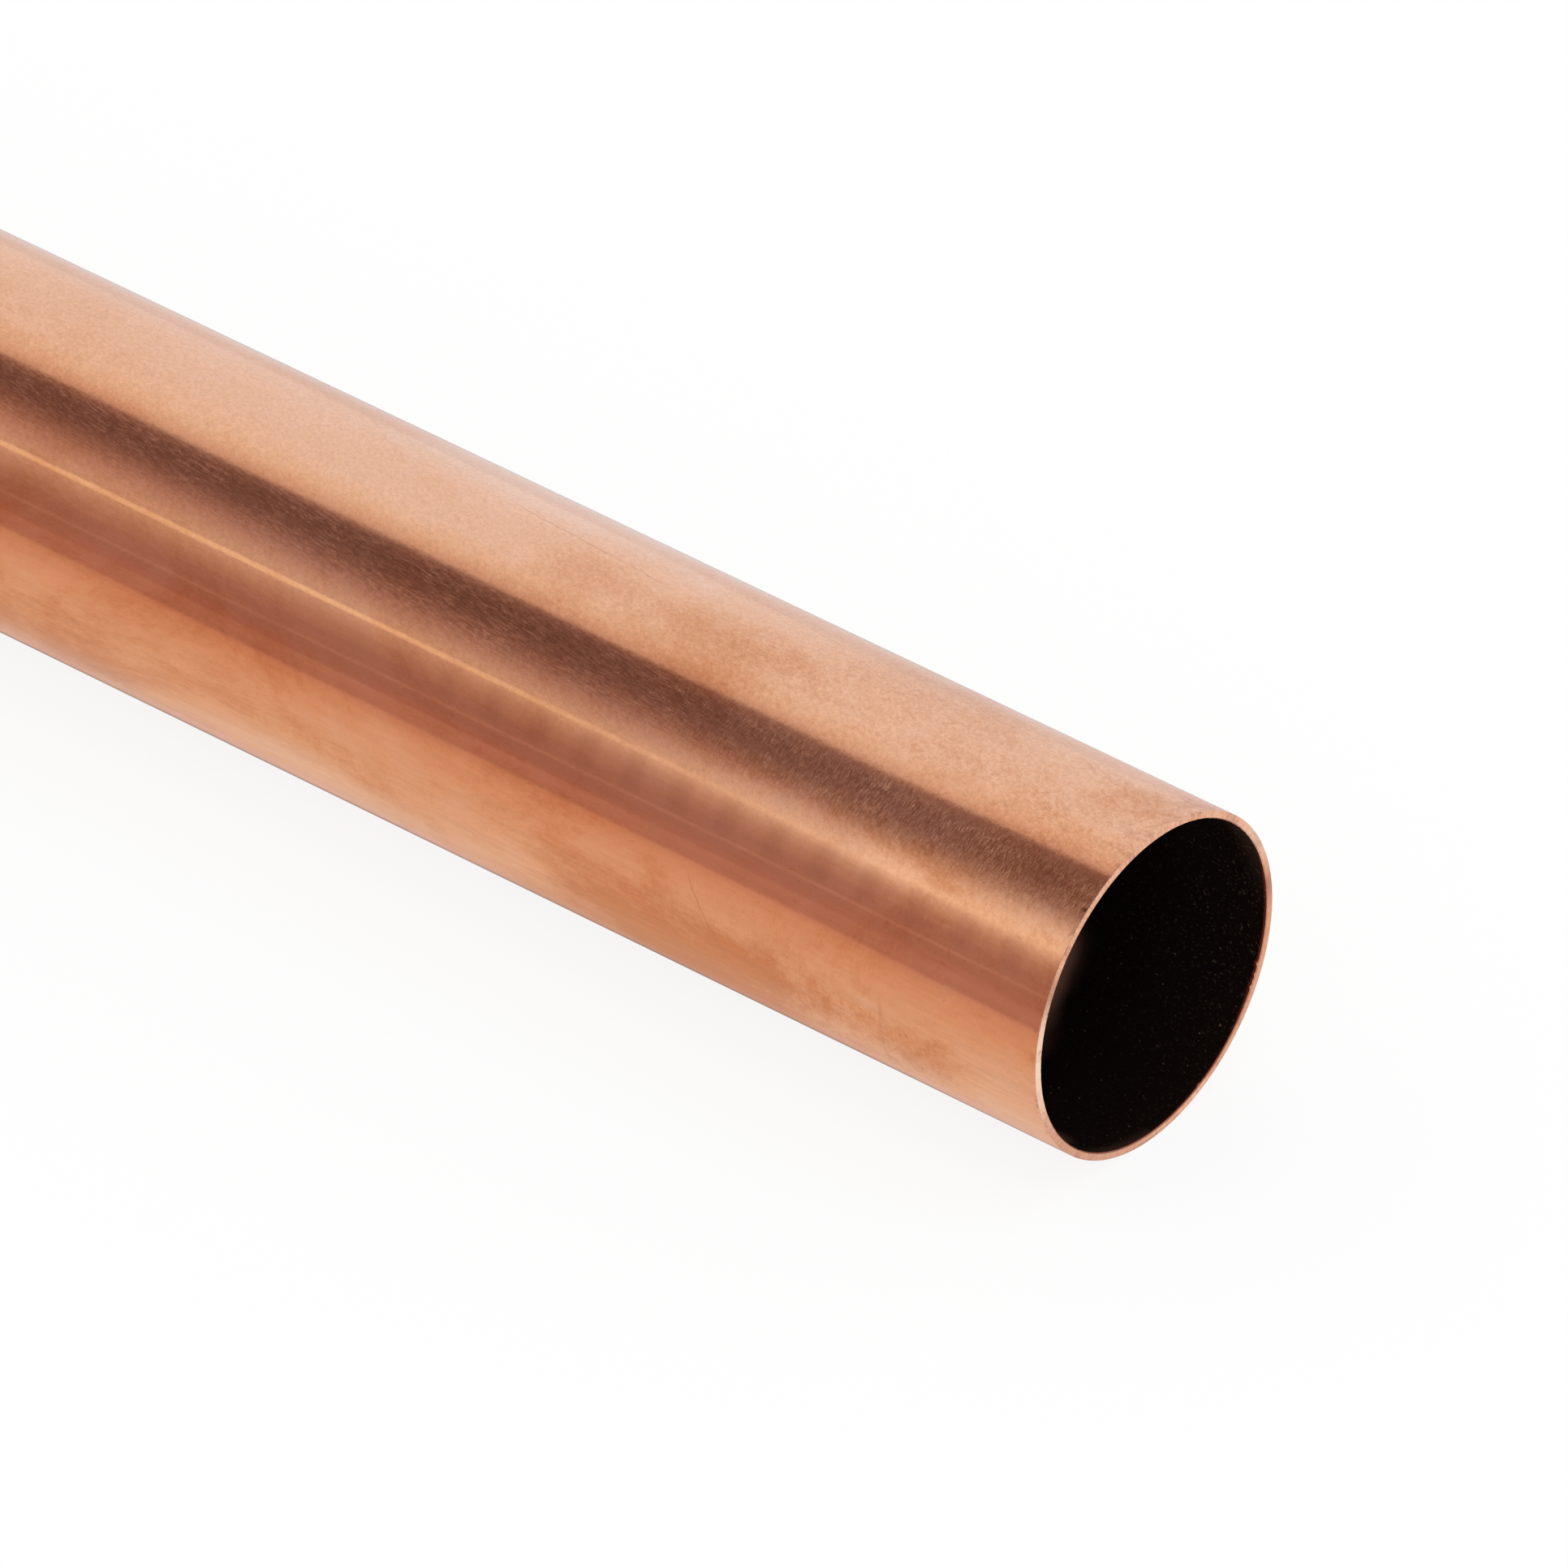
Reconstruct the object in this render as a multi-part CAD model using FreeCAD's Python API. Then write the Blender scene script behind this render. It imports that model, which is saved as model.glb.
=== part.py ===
import FreeCAD, Part
import os

# A length of round copper water tube, as drawn and sawn to length.
# It lies on its side along X on a level floor, and the origin is on the floor under its middle.
# All sizes are in millimetres.

# Driving dimensions
TUBE_LENGTH = 1000.0
OUTSIDE_DIAMETER = 54.0
WALL_THICKNESS = 1.2
# The outer arris of each cut is rubbed round, and the bore's edge is reamed back at 45 degrees.
OUTER_EDGE_RADIUS = 0.2
REAMED_EDGE = 0.15

# Sizes that follow from them
OUTER_RADIUS = OUTSIDE_DIAMETER / 2
BORE_RADIUS = OUTER_RADIUS - WALL_THICKNESS
HALF_LENGTH = TUBE_LENGTH / 2
AXIS_HEIGHT = OUTER_RADIUS
ARC_MIDDLE = OUTER_EDGE_RADIUS * 0.5 ** 0.5

ALONG_TUBE = FreeCAD.Vector(1, 0, 0)
TUBE_MIDDLE = FreeCAD.Vector(0, 0, AXIS_HEIGHT)
FULL_TURN = 360


def section_point(along, radius):
    """A point of the wall's section, `along` the tube and `radius` out from its axis."""
    return FreeCAD.Vector(along, 0, AXIS_HEIGHT - radius)


def cut_end_edges(side):
    """The edges of one cut end, from bore to outside: reamed edge, sawn face, rounded arris.

    `side` is 1 for the end at +X and -1 for the end at -X.
    """
    face = side * HALF_LENGTH
    arris_along = face - side * OUTER_EDGE_RADIUS
    arris_radius = OUTER_RADIUS - OUTER_EDGE_RADIUS
    reamed_start = section_point(face - side * REAMED_EDGE, BORE_RADIUS)
    face_inner = section_point(face, BORE_RADIUS + REAMED_EDGE)
    face_outer = section_point(face, arris_radius)
    arris_middle = section_point(arris_along + side * ARC_MIDDLE, arris_radius + ARC_MIDDLE)
    wall_outer = section_point(arris_along, OUTER_RADIUS)
    edges = [
        Part.LineSegment(reamed_start, face_inner).toShape(),
        Part.LineSegment(face_inner, face_outer).toShape(),
        Part.Arc(face_outer, arris_middle, wall_outer).toShape(),
    ]
    return edges, reamed_start, wall_outer


def tube_wall():
    """The tube, turned from the half section of its wall, with both ends cut alike."""
    mouth_edges, mouth_bore, mouth_outside = cut_end_edges(1)
    far_edges, far_bore, far_outside = cut_end_edges(-1)
    bore_line = Part.LineSegment(far_bore, mouth_bore).toShape()
    outside_line = Part.LineSegment(mouth_outside, far_outside).toShape()
    outline = Part.Wire(mouth_edges + [outside_line] + far_edges[::-1] + [bore_line])
    return Part.Face(outline).revolve(TUBE_MIDDLE, ALONG_TUBE, FULL_TURN)


os.makedirs("parts", exist_ok=True)
tube_wall().exportStep("parts/copper_tube.step")
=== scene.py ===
"""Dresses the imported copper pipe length: a drawn and handled skin, two sawn ends and a blackened bore."""

import logging
import math
from collections.abc import Callable
from dataclasses import dataclass
from enum import Enum

import bmesh
import bpy
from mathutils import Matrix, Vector, noise


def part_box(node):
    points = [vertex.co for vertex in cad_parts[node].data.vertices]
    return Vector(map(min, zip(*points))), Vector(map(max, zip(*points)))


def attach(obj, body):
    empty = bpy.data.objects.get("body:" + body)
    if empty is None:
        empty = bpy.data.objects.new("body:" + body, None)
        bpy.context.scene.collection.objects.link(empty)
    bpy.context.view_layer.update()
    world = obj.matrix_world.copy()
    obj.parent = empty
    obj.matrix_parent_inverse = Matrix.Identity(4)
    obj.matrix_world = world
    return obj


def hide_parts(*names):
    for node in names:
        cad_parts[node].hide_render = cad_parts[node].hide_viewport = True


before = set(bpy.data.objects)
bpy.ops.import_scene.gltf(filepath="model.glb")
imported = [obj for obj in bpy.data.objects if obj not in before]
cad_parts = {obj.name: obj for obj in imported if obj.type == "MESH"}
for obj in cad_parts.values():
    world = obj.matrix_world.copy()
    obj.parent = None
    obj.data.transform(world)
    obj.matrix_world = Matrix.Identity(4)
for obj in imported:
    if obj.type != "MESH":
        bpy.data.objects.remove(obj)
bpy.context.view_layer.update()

MM = 0.001
NODE = "copper_tube"
log = logging.getLogger("copper_pipe")

Colour = tuple[float, float, float]
Socket = bpy.types.NodeSocket
BLACK: Colour = (0.0, 0.0, 0.0)
WHITE: Colour = (1.0, 1.0, 1.0)


class Zone(Enum):
    """The surfaces of the tube that have a finish of their own, by material slot."""

    SKIN = 0
    SAWN_FACE = 1
    BORE = 2


@dataclass(frozen=True)
class Fade:
    """A smooth change: where it starts and ends, and the values before and after it."""

    start: float
    end: float
    before: float = 0.0
    after: float = 1.0


@dataclass(frozen=True)
class Grain:
    """A noise: clouds to the metre, finer layers, stretch along and across the tube, and turn in degrees."""

    scale: float
    detail: float
    roughness: float
    along: float = 1.0
    across: float = 1.0
    turn: float = 0.0
    distortion: float = 0.0


class Nodes:
    """Adds and joins the nodes of one material, or of the world."""

    def __init__(self, owner: bpy.types.Material | bpy.types.World) -> None:
        """Clears the owner's nodes and gives it a new output.

        Args:
            owner: The material or the world.
        """
        owner.use_nodes = True
        self.owner = owner
        self.tree = owner.node_tree
        self.tree.nodes.clear()
        self.output = self.add("OutputWorld" if isinstance(owner, bpy.types.World) else "OutputMaterial")

    def add(self, kind: str, **settings: object) -> bpy.types.Node:
        """Adds a node and sets its options.

        Args:
            kind: The node's type name, without the ShaderNode before it.
            settings: Options of the node, by attribute name.

        Returns:
            The new node.
        """
        node = self.tree.nodes.new("ShaderNode" + kind)
        for name, value in settings.items():
            setattr(node, name, value)
        return node

    def feed(self, socket: Socket, value: object) -> None:
        """Joins an output to an input, or writes a plain value there.

        Args:
            socket: The input to feed.
            value: An output socket, a number or a colour.
        """
        if isinstance(value, Socket):
            self.tree.links.new(value, socket)
        elif isinstance(value, tuple) and socket.type == "RGBA":
            socket.default_value = (*value, 1.0)
        else:
            socket.default_value = value

    def maths(self, operation: str, *values: object, clamp: bool = False) -> Socket:
        """One arithmetic step, taken again for each value past the second.

        Args:
            operation: The Math node's operation.
            values: Its inputs, in order.
            clamp: Whether the result is kept between 0 and 1.

        Returns:
            The result.
        """
        node = self.add("Math", operation=operation, use_clamp=clamp)
        for socket, value in zip(node.inputs[:2], values):
            self.feed(socket, value)
        result = node.outputs[0]
        return self.maths(operation, result, *values[2:], clamp=clamp) if len(values) > 2 else result

    def plus(self, *values: object) -> Socket:
        """The values added together."""
        return self.maths("ADD", *values)

    def minus(self, *values: object) -> Socket:
        """The first value less the others."""
        return self.maths("SUBTRACT", *values)

    def times(self, *values: object) -> Socket:
        """The values multiplied together."""
        return self.maths("MULTIPLY", *values)

    def apart(self, value: Socket, middle: float) -> Socket:
        """How far a value is from a middle, either way."""
        return self.maths("ABSOLUTE", self.minus(value, middle))

    def swing(self, value: object, reach: object) -> Socket:
        """How far a noise is off its middle, times a reach."""
        return self.times(self.minus(value, 0.5), reach)

    def diagonal(self, first: Socket, second: Socket) -> Socket:
        """The long side of a right triangle that has these two sides."""
        squares = [self.times(side, side) for side in (first, second)]
        return self.maths("SQRT", self.plus(*squares))

    def spread(
        self, value: Socket, start: object, end: object, before: float = 0.0, after: float = 1.0
    ) -> Socket:
        """A smooth change whose start and end may be sockets.

        Args:
            value: What the change follows.
            start: Where it starts.
            end: Where it ends.
            before: The result up to the start.
            after: The result from the end on.

        Returns:
            The result.
        """
        node = self.add("MapRange", interpolation_type="SMOOTHSTEP")
        names = ("Value", "From Min", "From Max", "To Min", "To Max")
        for name, number in zip(names, (value, start, end, before, after)):
            self.feed(node.inputs[name], number)
        return node.outputs[0]

    def fade(self, value: Socket, change: Fade) -> Socket:
        """Maps a value through a smooth change."""
        return self.spread(value, change.start, change.end, change.before, change.after)

    def blend(self, factor: object, first: object, second: object, kind: str = "MIX") -> Socket:
        """Mixes two colours, the second of which shows by the factor."""
        return self.mix("RGBA", "Color", factor, first, second, blend_type=kind)

    def mix(
        self, data: str, ending: str, factor: object, first: object, second: object, **settings: object
    ) -> Socket:
        """Mixes two colours or two numbers.

        Args:
            data: The Mix node's data type.
            ending: How that type's sockets are named in the node.
            factor: How much of the second one shows.
            first: The first one.
            second: The second one.
            settings: More options of the node.

        Returns:
            The mixed one.
        """
        node = self.add("Mix", data_type=data, clamp_factor=True, **settings)
        fed = {"Factor_Float": factor, f"A_{ending}": first, f"B_{ending}": second}
        for socket in node.inputs:
            if socket.identifier in fed:
                self.feed(socket, fed[socket.identifier])
        return next(socket for socket in node.outputs if socket.identifier == f"Result_{ending}")

    def ramp(self, value: Socket, stops: list[tuple[float, Colour]]) -> Socket:
        """Colours that follow a value from 0 to 1.

        Args:
            value: What the colours follow.
            stops: Places from 0 to 1 and their colours, in order.

        Returns:
            The colour.
        """
        node = self.add("ValToRGB")
        self.feed(node.inputs[0], value)
        elements = node.color_ramp.elements
        while len(elements) < len(stops):
            elements.new(0.5)
        for element, (position, colour) in zip(elements, stops):
            element.position = position
            element.color = (*colour, 1.0)
        return node.outputs[0]

    def axes(self) -> tuple[Socket, Socket, Socket]:
        """Splits the piece's own coordinates.

        Returns:
            The place along x, y and z.
        """
        split = self.add("SeparateXYZ")
        self.feed(split.inputs[0], self.add("TexCoord").outputs["Object"])
        return tuple(split.outputs)

    def place(self, grain: Grain) -> Socket:
        """The piece's own coordinates, turned about the upright axis and then stretched as a grain is.

        Args:
            grain: The grain.

        Returns:
            The placed coordinates.
        """
        turned = self.add("Mapping", vector_type="POINT")
        turned.inputs["Rotation"].default_value = (0.0, 0.0, math.radians(grain.turn))
        self.feed(turned.inputs["Vector"], self.add("TexCoord").outputs["Object"])
        stretched = self.add("Mapping", vector_type="POINT")
        stretched.inputs["Scale"].default_value = (grain.along, grain.across, grain.across)
        self.feed(stretched.inputs["Vector"], turned.outputs[0])
        return stretched.outputs[0]

    def noise(self, grain: Grain, where: Socket | None = None) -> Socket:
        """Soft cloudy noise, near 0.5 on average.

        Args:
            grain: How fine, stretched and turned it is.
            where: Its coordinates, if they aren't the piece's own.

        Returns:
            The noise.
        """
        node = self.add("TexNoise", noise_dimensions="3D")
        self.feed(node.inputs["Vector"], self.place(grain) if where is None else where)
        for name in ("Scale", "Detail", "Roughness", "Distortion"):
            self.feed(node.inputs[name], getattr(grain, name.lower()))
        return node.outputs["Fac"]

    def bump(self, height: Socket, depth: float, strength: float) -> Socket:
        """The normal over a bumpy height.

        Args:
            height: The height, from 0 to 1.
            depth: How deep a height of 1 is.
            strength: How much of it shows.

        Returns:
            The bumped normal.
        """
        node = self.add("Bump")
        for name, value in (("Strength", strength), ("Distance", depth), ("Height", height)):
            self.feed(node.inputs[name], value)
        return node.outputs[0]

    def light(self, kind: str, colour: object) -> Socket:
        """Adds a shader that has only a colour.

        Args:
            kind: Emission, Background or BsdfDiffuse.
            colour: Its colour.

        Returns:
            The shader.
        """
        node = self.add(kind)
        self.feed(node.inputs["Color"], colour)
        return node.outputs[0]

    def pick(self, amount: object, first: Socket, second: Socket) -> Socket:
        """Mixes two shaders.

        Args:
            amount: How much of the second one shows.
            first: The first shader.
            second: The second shader.

        Returns:
            The mixed shader.
        """
        node = self.add("MixShader")
        for socket, value in zip(node.inputs, (amount, first, second)):
            self.feed(socket, value)
        return node.outputs[0]

    def surface(self, **inputs: object) -> bpy.types.Material:
        """Ends the material with one principled shader.

        Args:
            inputs: The shader's inputs, with an underscore for each space in a name.

        Returns:
            The material.
        """
        shader = self.add("BsdfPrincipled")
        for name, value in inputs.items():
            self.feed(shader.inputs[name.replace("_", " ")], value)
        self.feed(self.output.inputs["Surface"], shader.outputs[0])
        return self.owner


@dataclass(frozen=True)
class Patch:
    """A mark on the tube: its middle and half sizes along and round the tube, and how strong it is.

    Lengths are from the mouth's cut, and angles are from straight up towards the front. In the film, a
    positive strength is a pale bloom, and a negative one is browned.
    """

    along: float
    angle: float
    half_along: float
    half_angle: float
    strength: float


@dataclass(frozen=True)
class Scratch:
    """One long fine scratch, straight on the unrolled skin, from one point to another."""

    start_along: float
    start_angle: float
    end_along: float
    end_angle: float
    depth: float
    half_width: float = 0.16 * MM
    taper: float = 0.1


@dataclass(frozen=True)
class Burr:
    """A curl of metal left on a lip: its angle, half width in degrees and height."""

    angle: float
    half_angle: float
    height: float


class TubePlace:
    """Where a point lies on the tube, as sockets that the finishes read."""

    fray: float = 2.9
    patch_edge: float = 1.35
    wander: float = 2.2 * MM
    broken: Fade = Fade(0.38, 0.5, 0.35, 1.0)

    def __init__(self, n: Nodes, mouth_x: float, axis_height: float, radius: float) -> None:
        """Works the places out from the piece's own coordinates.

        Args:
            n: The material's nodes.
            mouth_x: Where the mouth's cut is along the tube.
            axis_height: The axis's height over the floor.
            radius: The tube's outer radius.
        """
        x, y, z = n.axes()
        lift = n.minus(z, axis_height)
        front = n.times(y, -1.0)
        self.n = n
        self.arc = math.radians(radius)
        self.over_floor = z
        self.from_axis = n.diagonal(y, lift)
        self.from_mouth = n.minus(mouth_x, x)
        self.from_cut = n.minus(mouth_x, n.maths("ABSOLUTE", x))
        self.height = n.maths("DIVIDE", lift, radius)
        self.angle = n.times(n.maths("ARCTAN2", front, lift), math.degrees(1))

    def patch(self, cloud: Patch, ragged: object = 0.5) -> Socket:
        """How strongly a patch covers a point, with a ragged edge.

        Args:
            cloud: The patch.
            ragged: Noise that frays the edge.

        Returns:
            The patch's strength at the point.
        """
        n = self.n
        along = n.maths("DIVIDE", n.minus(self.from_mouth, cloud.along), cloud.half_along)
        around = n.maths("DIVIDE", n.minus(self.angle, cloud.angle), cloud.half_angle)
        off = n.plus(n.diagonal(along, around), n.swing(ragged, self.fray))
        return n.spread(off, 0.0, self.patch_edge, cloud.strength, 0.0)

    def scratch(self, mark: Scratch, wander: Socket) -> Socket:
        """How deep a scratch is at a point.

        Args:
            mark: The scratch.
            wander: Noise that bends it slightly and breaks it up.

        Returns:
            The depth, 0 off the scratch.
        """
        n = self.n
        run = mark.end_along - mark.start_along
        turn = (mark.end_angle - mark.start_angle) * self.arc
        length = math.hypot(run, turn)
        across, along = turn / length, run / length
        x = n.minus(self.from_mouth, mark.start_along)
        y = n.times(n.minus(self.angle, mark.start_angle), self.arc)
        down = n.plus(n.times(x, along), n.times(y, across))
        off = n.minus(n.times(x, across), n.times(y, along))
        off = n.maths("ABSOLUTE", n.plus(off, n.swing(wander, self.wander)))
        line = n.spread(off, 0.0, mark.half_width, mark.depth, 0.0)
        starts = n.spread(down, 0.0, mark.taper * length)
        stops = n.spread(down, (1 - mark.taper) * length, length, 1.0, 0.0)
        return n.times(line, starts, stops, n.fade(wander, self.broken))


@dataclass(frozen=True)
class DrawnSkin:
    """The outside: copper with a cloudy oxide film, fine grain and the marks of handling, and some painted
    light: paler towards the top, and a painted sheen on the hairlines in a band near the top front.

    A fade named by_wear goes from 0 past the handled stretch to 1 on it. The others go by a place.
    """

    mouth_x: float
    axis_height: float
    radius: float
    orange: Colour = (0.81, 0.372, 0.203)
    pale: Colour = (0.86, 0.475, 0.307)
    # Paler towards the top: partly a paler film, partly painted light for the bright surround that the top
    # mirrors.
    pale_above: Fade = Fade(-0.1, 0.9, 0.0, 0.70)
    brown: Colour = (0.50, 0.21, 0.125)
    browned: Colour = (0.80, 0.62, 0.48)
    bloom: Colour = (1.04, 1.16, 1.34)
    handled: Fade = Fade(35 * MM, 105 * MM, 1.0, 0.0)
    scuff_edge: float = 37.0

    rubbed_round: Grain = Grain(5200, 3, 0.8, across=0.17, turn=5)
    rubbed_along: Grain = Grain(3300, 3, 0.8, along=0.13, turn=8)
    # A band at about 34° from the top where the hairline wear is painted lighter and darker: painted sheen,
    # standing in for light that the scratches scatter into the dark reflection.
    sheen_band_angle: float = 34.0
    sheen_band_across: Fade = Fade(5.5, 11.0, 1.0, 0.0)
    sheen_band_by_wear: Fade = Fade(0.0, 1.0, 0.8, 0.95)
    sheen_band_light: Fade = Fade(0.3, 0.7, 0.86, 1.15)

    cloudy: Grain = Grain(26, 7, 0.76, along=0.7, distortion=0.5)
    cloudy_above: Fade = Fade(0.0, 0.9, 2.8, 1.1)
    ragged: Grain = Grain(70, 6, 0.76, along=0.6, turn=30, distortion=0.3)
    ragged_above: Fade = Fade(-0.2, 0.6, 0.45, 1.0)
    speckle: Grain = Grain(1500, 3, 0.85, along=0.8, turn=25)
    speckle_by_wear: Fade = Fade(0.0, 1.0, 0.3, 0.6)
    speckle_below: Fade = Fade(scuff_edge, scuff_edge + 8.0, 1.0, 0.4)
    wear_in_film: float = 0.5
    wrinkles: Grain = Grain(800, 3, 0.7, along=0.5, turn=50, distortion=0.6)
    wrinkles_by_wear: Fade = Fade(0.0, 1.0, 0.15, 0.55)
    wrinkles_above: Fade = Fade(0.2, 0.7)
    wrinkles_below: Fade = Fade(90.0, 102.0, 0.0, 0.8)

    streaks: Grain = Grain(1100, 4, 0.8, along=0.07, turn=2)
    streaks_below: Fade = Fade(0.45, 0.78, 0.75, 0.0)
    speckle_light: Fade = Fade(0.2, 0.8, 0.87, 1.11)
    calm_angle: float = 74.0
    calm_across: Fade = Fade(15.0, 25.0, 0.6, 1.0)

    strokes: Grain = Grain(1250, 3, 0.6, along=0.55, turn=-20)
    strokes_dark: Fade = Fade(0.62, 0.76, 0.0, 0.55)
    strokes_by_wear: Fade = Fade(0.0, 1.0, 0.45, 1.0)
    sparse: Grain = Grain(130, 2, 0.5)
    sparse_edge: Fade = Fade(0.42, 0.62)

    chatter_pitch: float = 8.75 * MM
    chatter_start: float = 8.0 * MM
    chatter_angle: float = 57.0
    chatter_dark: Fade = Fade(-0.4, 1.0, 0.0, 0.22)
    chatter_across: Fade = Fade(3.0, 8.0, 1.0, 0.0)
    chatter_along: Fade = Fade(105 * MM, 140 * MM, 1.0, 0.0)

    stained: Grain = Grain(300, 5, 0.75)
    stained_edge: Fade = Fade(0.47, 0.62)
    stained_along: Fade = Fade(0.0, 10 * MM, 1.0, 0.0)
    stained_above: Fade = Fade(0.5, 0.85, 0.12, 0.52)
    stained_behind: Fade = Fade(16.0, 28.0, 1.0, 0.25)
    dots: Grain = Grain(620, 3, 0.6)
    dots_edge: Fade = Fade(0.54, 0.64)
    dots_along: Fade = Fade(0.0, 1.6 * MM, 0.65, 0.0)
    nick: Patch = Patch(0.45 * MM, 35.6, 0.5 * MM, 0.95, 0.95)
    dirt: Colour = (0.05, 0.022, 0.015)
    # A stretch low on the front whose grazing reflection is tinted warmer and dimmer.
    dimmed_edge_patch: Patch = Patch(72 * MM, 126, 42 * MM, 20, 1.0)
    dimmed_edge_tint: Colour = (0.90, 0.76, 0.66)

    polish: float = 0.055
    dull: Grain = Grain(120, 5, 0.7, along=0.8)
    dull_edge: Fade = Fade(0.36, 0.62, 0.6, 1.0)
    dull_by_wear: Fade = Fade(0.0, 1.0, 0.25, 0.41)
    dull_below: Fade = Fade(scuff_edge, scuff_edge + 11.0, 1.0, 0.08)
    lines_from: Fade = Fade(0.0, 1.0, 0.30, 0.26)
    lines_to: Fade = Fade(0.0, 1.0, 0.74, 0.79)
    band_angle: float = 22.0
    band_across: Fade = Fade(1.0, 7.0, 0.3, 1.0)
    smooth_spot: Patch = Patch(31 * MM, 42.0, 14 * MM, 8.0, 0.4)

    relief_grain: Grain = Grain(1600, 2, 0.6, along=0.8)
    relief_by_wear: Fade = Fade(0.0, 1.0, 0.5, 1.0)
    relief_below: Fade = Fade(scuff_edge, scuff_edge + 12.0, 1.0, 0.35)
    relief_wear: float = 1.1
    relief_depth: float = 0.02 * MM
    relief_strength: float = 0.25

    def material(self) -> bpy.types.Material:
        """Builds the finish.

        Returns:
            The skin's material.
        """
        n = Nodes(bpy.data.materials.new("drawn_copper_skin"))
        at = WornPlace(n, self)
        return n.surface(
            Metallic=1.0,
            Base_Color=self.colour(at),
            # Specular tint: the grazing reflection warmer and dimmer over a stretch low on the front.
            Specular_Tint=n.blend(at.patch(self.dimmed_edge_patch), WHITE, self.dimmed_edge_tint),
            Roughness=self.gloss(at),
            Normal=self.relief(at))

    def clouds(self) -> list[Patch]:
        """The film's clouds that stand out along the front of the tube, from the mouth inwards."""
        return [
            Patch(5 * MM, 112, 11 * MM, 22, 0.80),
            Patch(9 * MM, -13, 10 * MM, 14, -0.34),
            Patch(9 * MM, 76, 14 * MM, 8, 0.32),
            Patch(26 * MM, 13, 16 * MM, 12, -0.22),
            Patch(28 * MM, 109, 20 * MM, 15, -0.38),
            Patch(31 * MM, 43.5, 14 * MM, 6, -0.50),
            Patch(31.5 * MM, 95, 3 * MM, 3, 0.45),
            Patch(36 * MM, -8, 30 * MM, 22, -0.14),
            Patch(56 * MM, 40, 34 * MM, 5, -0.34),
            Patch(58 * MM, 104, 12 * MM, 9, -0.45),
            Patch(60 * MM, 99, 34 * MM, 16, -0.36),
            Patch(60 * MM, 130, 34 * MM, 16, -0.30),
            Patch(72 * MM, 116, 44 * MM, 22, -0.36),
            Patch(77 * MM, 12, 17 * MM, 19, -0.42),
            Patch(82 * MM, 86, 10 * MM, 7, 0.34),
            Patch(102 * MM, 108, 11 * MM, 20, 0.50),
            Patch(105 * MM, 2, 10 * MM, 20, -0.18),
            Patch(114 * MM, -25, 30 * MM, 24, 0.42),
            Patch(120 * MM, 106, 14 * MM, 12, -0.26),
            Patch(124 * MM, -37, 34 * MM, 7, 0.42),
            Patch(132 * MM, -30, 24 * MM, 16, 0.32),
            Patch(138 * MM, 87, 28 * MM, 9, 0.26),
            Patch(142 * MM, 111, 20 * MM, 9, 0.48),
            Patch(150 * MM, -2, 42 * MM, 34, 0.05),
            Patch(178 * MM, -11, 34 * MM, 16, 0.20),
            Patch(184 * MM, 118, 24 * MM, 18, -0.30),
            Patch(190 * MM, 85, 16 * MM, 12, 0.32),
        ]

    def scratches(self) -> list[Scratch]:
        """The long scratches that show on the front."""
        return [
            Scratch(52 * MM, 126, 65 * MM, 78, 0.70, 0.2 * MM),
            Scratch(30 * MM, 128, 28.5 * MM, 90, 0.30, 0.55 * MM),
            Scratch(33 * MM, 103, 57 * MM, 101, 0.35),
            Scratch(36 * MM, 113, 55 * MM, 110, 0.35),
            Scratch(31.5 * MM, 122, 26 * MM, 108, 0.45),
            Scratch(90 * MM, -5, 126 * MM, -11, 0.60),
            Scratch(62 * MM, -18, 85 * MM, -23, 0.55),
            Scratch(66 * MM, 30, 71 * MM, 34, 0.30),
            Scratch(146 * MM, 97, 168 * MM, 96, 0.35),
            Scratch(210 * MM, 10, 240 * MM, 4, 0.35),
        ]

    def colour(self, at: "WornPlace") -> Socket:
        """Copper under a film that is browned in places and has a pale bloom in others, with its marks,
        paler towards the top in part as painted light, and with a painted sheen on the hairlines in one
        band.

        Args:
            at: Where a point lies.

        Returns:
            The colour.
        """
        n = at.n
        ragged = n.noise(self.ragged)
        speckle = n.noise(self.speckle)
        # Paler towards the top: partly a paler film, partly painted light for the bright surround that the
        # top mirrors.
        colour = n.blend(n.fade(at.height, self.pale_above), self.orange, self.pale)
        film = n.maths("ADD", self.film(at, ragged, speckle), 0.5, clamp=True)
        tint = n.ramp(film, [(0.0, self.browned), (0.5, WHITE), (1.0, self.bloom)])
        colour = n.blend(1.0, colour, tint, "MULTIPLY")
        off = n.minus(n.noise(self.streaks), speckle)
        streaked = n.plus(speckle, n.times(off, n.fade(at.height, self.streaks_below)))
        calm = n.fade(n.apart(at.angle, self.calm_angle), self.calm_across)
        colour = self.mottled(n, colour, calm, n.fade(streaked, self.speckle_light))
        # Painted sheen: the hairlines made lighter and darker in a band near the top front, for light that
        # the scratches scatter.
        band = n.fade(n.apart(at.angle, self.sheen_band_angle), self.sheen_band_across)
        painted_sheen = n.times(band, n.fade(at.handled, self.sheen_band_by_wear))
        colour = self.mottled(n, colour, painted_sheen, n.fade(at.wear, self.sheen_band_light))
        colour = n.blend(self.pits(at), colour, self.brown)
        colour = n.blend(self.chatter(at), colour, self.brown)
        colour = n.blend(at.patch(self.nick), colour, self.dirt)
        for mark in self.scratches():
            colour = n.blend(at.scratch(mark, ragged), colour, self.brown)
        return n.blend(self.stains(at), colour, self.brown)

    @staticmethod
    def mottled(n: Nodes, colour: Socket, amount: Socket, light: Socket) -> Socket:
        """A colour made lighter and darker by a share of a light."""
        return n.blend(amount, colour, n.blend(1.0, colour, light, "MULTIPLY"))

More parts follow.
